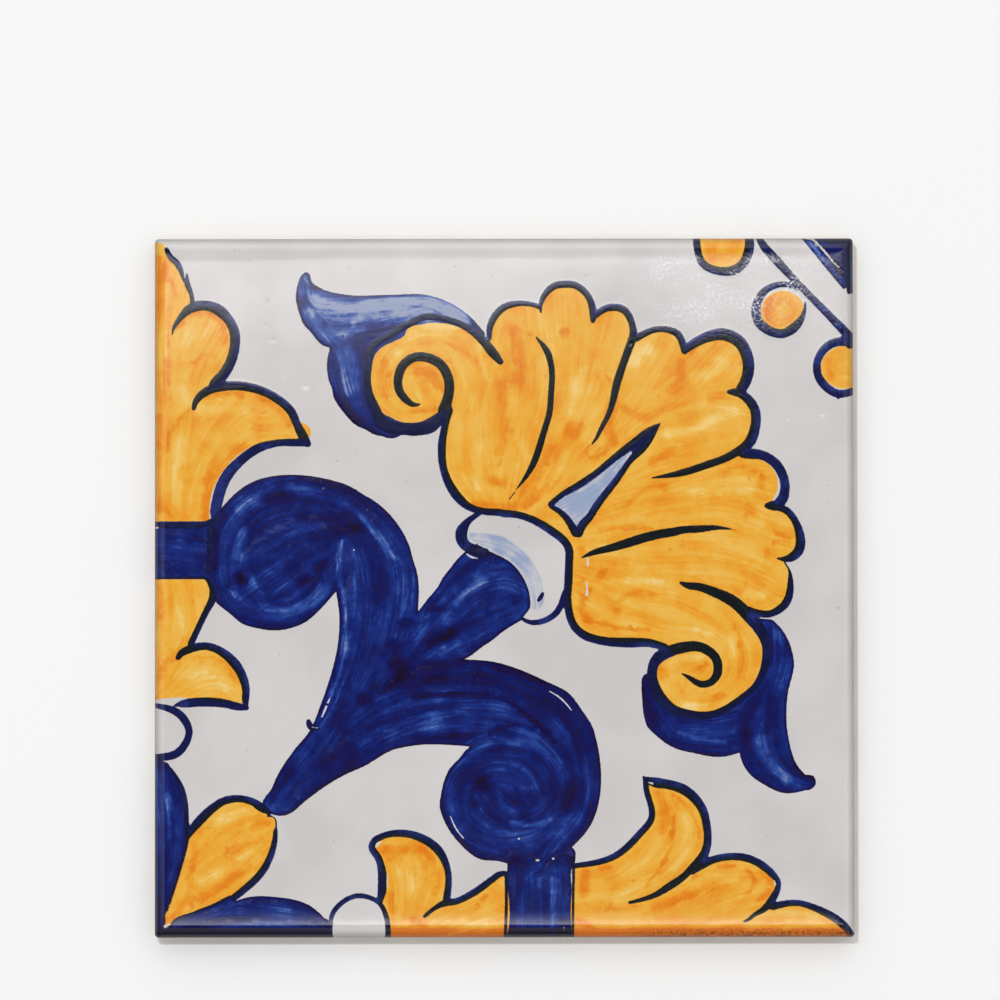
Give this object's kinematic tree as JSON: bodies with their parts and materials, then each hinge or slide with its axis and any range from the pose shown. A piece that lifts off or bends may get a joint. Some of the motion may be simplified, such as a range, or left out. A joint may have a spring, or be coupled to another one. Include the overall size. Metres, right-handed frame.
{
  "type": "azulejo tile",
  "caption": "Square glazed ceramic wall tile with a cushioned edge, a plain bare back and a painted scroll and palmette quarter pattern.",
  "frame": {"origin": "middle of the back, the plain face that the tile rests on or is bedded by", "axes": "+Z out of the glazed face; +X to the right and +Y up as the painted pattern is seen in the picture"},
  "size_m": [0.14, 0.14, 0.007],
  "materials": {
    "tin_glaze": "gloss"
  },
  "bodies": {
    "root": {"tile": "tin_glaze"}
  },
  "joints": []
}
